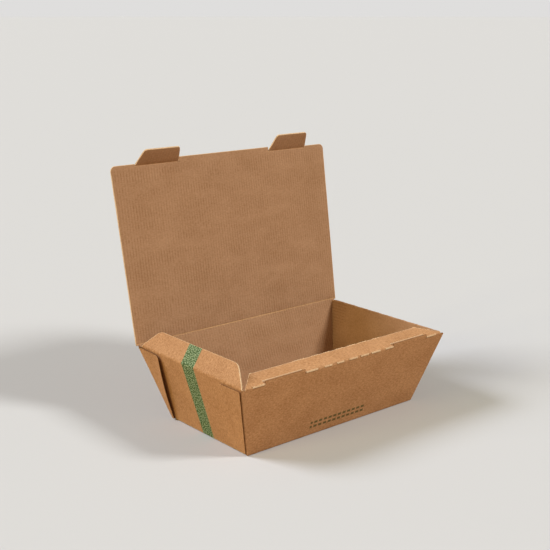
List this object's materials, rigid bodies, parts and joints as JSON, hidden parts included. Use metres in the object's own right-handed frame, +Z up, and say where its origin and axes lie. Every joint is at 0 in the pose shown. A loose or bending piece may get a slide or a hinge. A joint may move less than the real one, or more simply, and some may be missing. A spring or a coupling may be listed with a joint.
{
  "type": "takeaway box",
  "caption": "Folded brown fluted-board food box with leaning walls, folded corner webs, hinged lid with two lock tabs, end flaps and a slotted front flange.",
  "frame": {"origin": "middle of the flat underside of the base", "axes": "+X along the length, +Y from the front wall to the rear wall that carries the lid, +Z up"},
  "size_m": [0.21, 0.1455, 0.1973],
  "materials": {
    "kraft_board": "uncoated brown kraft, small flute"
  },
  "bodies": {
    "tray": {"tray": "kraft_board"},
    "lid": {"lid": "kraft_board"},
    "lock_tab_left": {"lock_tab_left": "kraft_board"},
    "lock_tab_right": {"lock_tab_right": "kraft_board"},
    "end_flap_left": {"end_flap_left": "kraft_board"},
    "end_flap_right": {"end_flap_right": "kraft_board"},
    "front_flange": {"front_flange": "kraft_board"}
  },
  "joints": [
    {"name": "lid_hinge", "type": "hinge", "parent": "tray", "child": "lid", "pos_m": [0, 0.06278, 0.0566], "axis": [-1, 0, 0], "range_deg": [-96.6, 80]},
    {"name": "lock_tab_left_hinge", "type": "hinge", "parent": "lid", "child": "lock_tab_left", "pos_m": [-0.0629, 0.08429, 0.18379], "axis": [1, 0, 0], "range_deg": [-45, 50]},
    {"name": "lock_tab_right_hinge", "type": "hinge", "parent": "lid", "child": "lock_tab_right", "pos_m": [0.0629, 0.08429, 0.18379], "axis": [1, 0, 0], "range_deg": [-38, 57]},
    {"name": "end_flap_left_hinge", "type": "hinge", "parent": "tray", "child": "end_flap_left", "pos_m": [-0.09577, 0, 0.056], "axis": [0, -1, 0], "range_deg": [-81.5, 67.58]},
    {"name": "end_flap_right_hinge", "type": "hinge", "parent": "tray", "child": "end_flap_right", "pos_m": [0.09577, 0, 0.056], "axis": [0, 1, 0], "range_deg": [-243, 4]},
    {"name": "front_flange_hinge", "type": "hinge", "parent": "tray", "child": "front_flange", "pos_m": [0, -0.05887, 0.056], "axis": [1, 0, 0], "range_deg": [-17, 233]}
  ],
  "couplings": [
    {"joint": "end_flap_left_hinge", "follows": "lid_hinge", "ratio": 0.8385}
  ]
}
